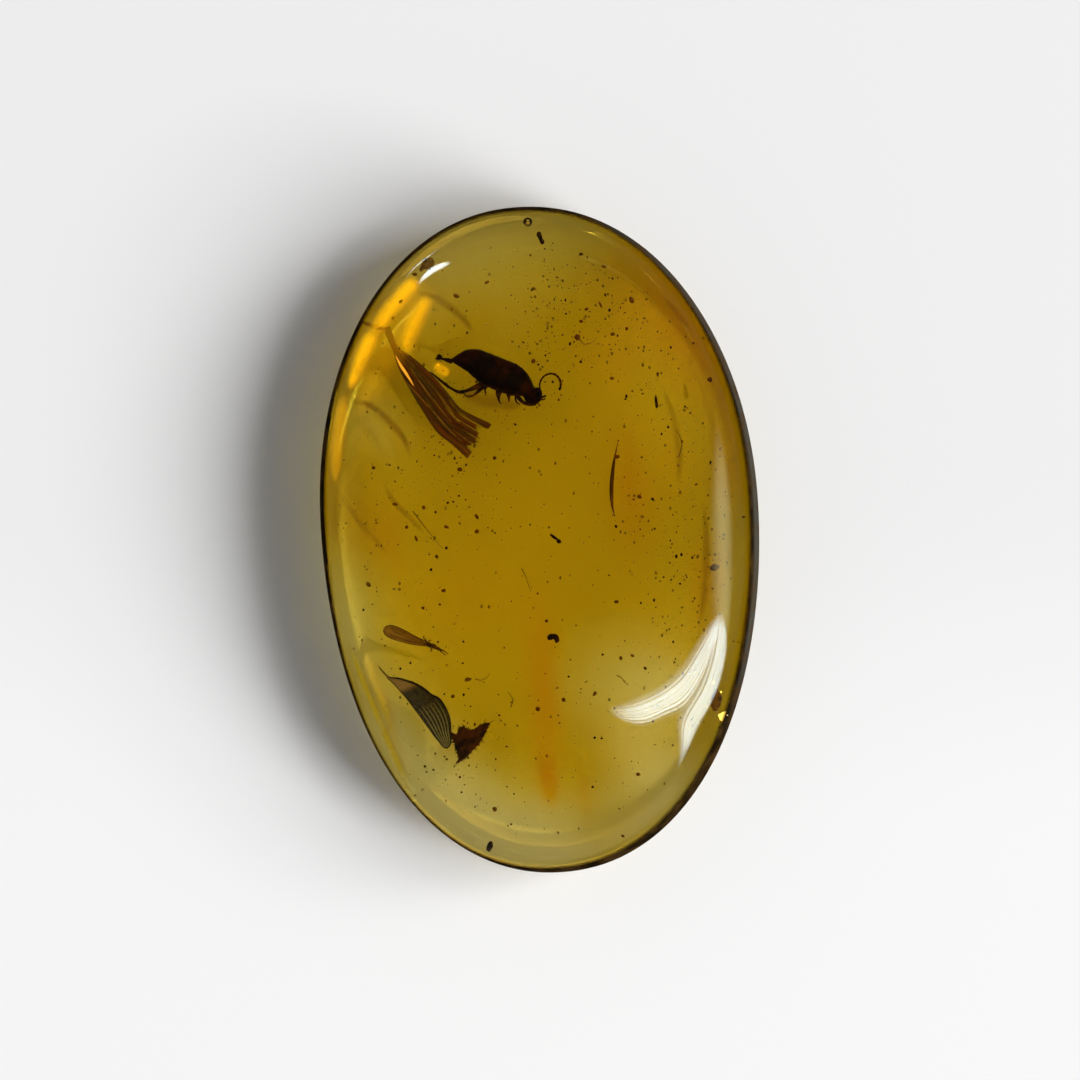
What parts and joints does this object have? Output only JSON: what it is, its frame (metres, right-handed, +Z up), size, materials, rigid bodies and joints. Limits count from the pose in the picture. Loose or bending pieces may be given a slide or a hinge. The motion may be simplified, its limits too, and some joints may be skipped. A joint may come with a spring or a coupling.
{
  "type": "insect in amber",
  "caption": "Polished oval cabochon of clear golden amber with a beetle, a small winged insect, a loose wing and plant scraps sealed inside.",
  "frame": {"origin": "middle of the flat base, on the surface that the amber rests on", "axes": "+Y along the oval's long axis, towards the beetle's end; +X to the right as seen from above; +Z up out of the flat base"},
  "size_m": [0.0198, 0.03, 0.0082],
  "materials": {
    "amber": "polished, clear, golden",
    "beetle_shell": "near-black brown chitin, faint sheen",
    "plant_fibre": "reddish brown dry fibre",
    "brown_membrane": "translucent brown folded wings",
    "wing_membrane": "dark veined wing membrane, paler at the root",
    "bark": "dark red-brown bark, rough",
    "plant_hair": "brown plant hair",
    "bark_crumb": "dark bark crumbs and dust, rough"
  },
  "bodies": {
    "root": {"amber_lower": "amber", "amber_upper": "amber", "beetle": "beetle_shell", "plant_fan": "plant_fibre", "small_winged_insect": "brown_membrane", "loose_wing": "wing_membrane", "bark_flake": "bark", "curved_hair": "plant_hair", "rim_bark_crumb": "bark_crumb", "right_bark_crumb": "bark_crumb", "top_bark_splinter": "bark_crumb", "right_bark_splinter": "bark_crumb", "middle_bark_splinter": "bark_crumb", "frass_pellet": "bark_crumb", "seed": "bark_crumb"}
  },
  "joints": []
}
